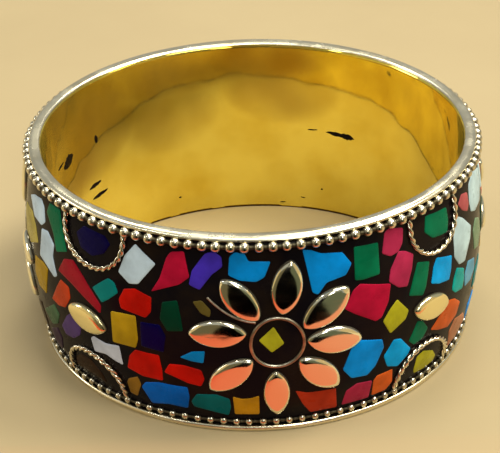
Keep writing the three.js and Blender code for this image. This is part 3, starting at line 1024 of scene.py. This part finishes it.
# Each smear: azimuth, height, length, width in millimetres, and lean in degrees.
SMEARS = [
    (151.4, 15.65, 5.2, 0.8, -3), (149.2, 15.6, 2.6, 1.15, -4), (160.6, 15.85, 1.9, 0.28, 5),
    (234.4, 20.7, 0.8, 1.5, 8), (249.4, 20.4, 3.5, 2.0, 20), (254.4, 20.9, 2.6, 0.5, 8),
    (236.6, 12.7, 3.2, 0.8, 6), (234.5, 10.5, 4.0, 0.75, 5), (204, 3.7, 0.5, 0.35, 0),
    (157.7, 4.4, 0.45, 0.3, 20), (164, 2.2, 0.9, 0.2, -6), (170.6, 0.95, 1.1, 0.22, 4),
]


def make_smears():
    for number, (azimuth, z, length, width, lean) in enumerate(SMEARS):
        make_smear(number + 1, azimuth, z * MM, length * MM, width * MM, lean, 40 + number)


# -------- assembly


def make_flowers():
    for number, flower in enumerate(FLOWERS):
        name, azimuth = flower[:2]
        for k in range(len(PETALS)):
            place = petal_place(flower, k)
            make_leaf(f"{name}_leaf_{k + 1}", f"{name}_petal_{k + 1}", *place, 100 * number + k, LEAF_BRASS)
        make_flower_ring(f"{name}_wire_ring", f"{name}_flower_ring", azimuth, 500 + number)


def make_gaps():
    for number, gap in enumerate(GAPS):
        name, azimuth, upper_shift, lower_shift, tilt, upper, lower, upper_z = gap
        make_leaf(
            f"{name}_stud", f"{name}_leaf_stud", azimuth, STUD_Z, tilt, STUD_SIZE,
            600 + number, STUD_BRASS,
        )
        make_rope(
            f"{name}_upper_rope", f"{name}_upper_rope_loop", azimuth + upper_shift,
            upper_z * MM, UPPER_ROPE_END - upper_z * MM, upper * MM, 0, 700 + number,
        )
        make_rope(
            f"{name}_lower_rope", f"{name}_lower_rope_loop", azimuth + lower_shift,
            LOWER_ROPE["z"], LOWER_ROPE["leg"], lower * MM, 180, 800 + number,
        )


make_band()
make_rims()
make_lac()
make_beads("upper_beads", "upper_bead_wire", UPPER_BEADS, 1)
make_beads("lower_beads", "lower_bead_wire", LOWER_BEADS, 2)
make_flowers()
make_tail_wire()
make_gaps()
make_mosaic()
make_smears()

# -------- floor, lights and camera


def plane(name, corners, material):
    mesh = bpy.data.meshes.new(name)
    mesh.from_pydata([Vector(corner) for corner in corners], [], [tuple(range(len(corners)))])
    mesh.materials.append(material)
    made = bpy.data.objects.new(name, mesh)
    bpy.context.scene.collection.objects.link(made)
    return made


def make_floor():
    half = 2.5
    corners = [(-half, -half, 0), (half, -half, 0), (half, half, 0), (-half, half, 0)]
    plane("floor", corners, pale_floor())


def reflection_card(name, corners, left_colour, right_colour):
    """A card that only polished surfaces see, and whose colour changes from left to right."""
    made, tree, shader = principled(name, 0.0, 1.0)
    shader.inputs["Base Color"].default_value = (0, 0, 0, 1)
    shader.inputs["Specular IOR Level"].default_value = 0
    shader.inputs["Emission Strength"].default_value = 1
    place = node(tree, "ShaderNodeTexCoord")
    axes = node(tree, "ShaderNodeSeparateXYZ")
    tree.links.new(place.outputs["Object"], axes.inputs["Vector"])
    share = spread(tree, axes.outputs["X"], 0, 1, -0.03, 0.04)
    tree.links.new(blend_colours(tree, share, left_colour, right_colour), shader.inputs["Emission Color"])
    card = plane(name, corners, made)
    card.visible_camera = False
    card.visible_diffuse = False
    card.visible_transmission = False
    card.visible_shadow = False


def make_cards():
    """What the polished studs see: coral cloth close in front, and the dark room beyond it."""
    low = 0.2 * MM
    dark_left, dark_right = (-0.016, -0.0605, low), (0.030, -0.0612, low)
    coral_left, coral_right = (-0.070, -0.047, low), (0.075, -0.064, low)
    coral = [
        (-0.070, -0.0358, low), (0.075, -0.0358, low), coral_right, dark_right, dark_left, coral_left,
    ]
    reflection_card("coral_card", coral, (0.81, 0.105, 0.045), (0.88, 0.35, 0.18))
    far_left, far_middle_left = (-0.27, -0.22), (-0.06, -0.28)
    far_middle_right, far_right = (0.06, -0.28), (0.24, -0.28)
    # Each part of the room: its colour, the ends of its near edge on the floor and of the foot of
    # its wall, and the height of the wall.
    room = [
        ("dark", (0.0, 0.0, 0.0), dark_left, dark_right, far_middle_left, far_middle_right, 0.42),
        ("olive", (0.12, 0.13, 0.08), dark_right, coral_right, far_middle_right, far_right, 0.17),
        ("drab", (0.13, 0.11, 0.06), coral_left, dark_left, far_left, far_middle_left, 0.17),
    ]
    foot = 0.03
    for name, colour, near_left, near_right, left, right, top in room:
        ground = [near_left, near_right, (*right, foot), (*left, foot)]
        reflection_card(f"{name}_ground_card", ground, colour, colour)
        wall = [(*left, foot), (*right, foot), (*right, top), (*left, top)]
        reflection_card(f"{name}_wall_card", wall, colour, colour)
    cream = (0.60, 0.46, 0.24)
    for side, x in (("left", -0.34), ("right", 0.34)):
        wall = [(x, -0.34, 0), (x, 0.02, 0), (x, 0.02, 0.24), (x, -0.34, 0.24)]
        reflection_card(f"cream_{side}_card", wall, cream, cream)


def area_light(name, place, target, size, power, colour):
    data = bpy.data.lights.new(name, "AREA")
    data.shape = "DISK"
    data.size = size
    data.energy = power
    data.color = colour
    made = bpy.data.objects.new(name, data)
    made.location = place
    made.rotation_euler = (Vector(target) - Vector(place)).to_track_quat("-Z", "Y").to_euler()
    bpy.context.scene.collection.objects.link(made)


# Each soft light: its name and place, its width, its power in watts and its colour.
LIGHTS = [
    ("key", (0.55, 0.10, 0.85), 0.40, 8.0, (1.0, 0.95, 0.85)),
    ("back_right", (0.14, 0.50, 0.60), 0.22, 1.2, (1.0, 0.97, 0.90)),
    ("back_left", (-0.17, 0.50, 0.60), 0.14, 0.6, (1.0, 0.97, 0.90)),
    ("overhead", (0.02, 0.12, 0.90), 0.30, 2.2, (1.0, 0.96, 0.88)),
    ("lamp_right", (0.20, -0.18, 0.64), 0.26, 2.2, (1.0, 0.97, 0.92)),
    ("lamp_left", (-0.33, -0.105, 0.61), 0.06, 0.35, (1.0, 0.97, 0.92)),
    ("side_left", (-0.75, 0.06, 0.31), 0.36, 2.0, (1.0, 0.95, 0.90)),
    ("side_right", (0.70, -0.05, 0.42), 0.12, 0.4, (1.0, 0.95, 0.90)),
    ("front_fill", (0.15, -0.85, 0.65), 0.45, 4.5, (1.0, 0.96, 0.88)),
]
WORLD_COLOUR = (0.93, 0.95, 0.92, 1)
WORLD_STRENGTH = 0.38


def make_lights():
    for name, place, size, power, colour in LIGHTS:
        area_light(name, place, (0, 0, MID_Z), size, power, colour)
    world = bpy.data.worlds.new("studio")
    bpy.context.scene.world = world
    world.use_nodes = True
    background = world.node_tree.nodes["Background"]
    background.inputs["Color"].default_value = WORLD_COLOUR
    background.inputs["Strength"].default_value = WORLD_STRENGTH


CAMERA_PLACE = (0, -0.20721, 0.13212)
CAMERA_TURNS = (60.289, 1.338, -0.5755)
CAMERA_LENS = 110.2
SENSOR_WIDTH = 36


def make_camera():
    data = bpy.data.cameras.new("camera")
    data.lens = CAMERA_LENS
    data.sensor_width = SENSOR_WIDTH
    data.clip_start = 0.01
    made = bpy.data.objects.new("camera", data)
    made.location = CAMERA_PLACE
    made.rotation_euler = [math.radians(turn) for turn in CAMERA_TURNS]
    bpy.context.scene.collection.objects.link(made)
    bpy.context.scene.camera = made


make_floor()
make_cards()
make_lights()
make_camera()
bpy.context.scene.view_settings.view_transform = "Standard"
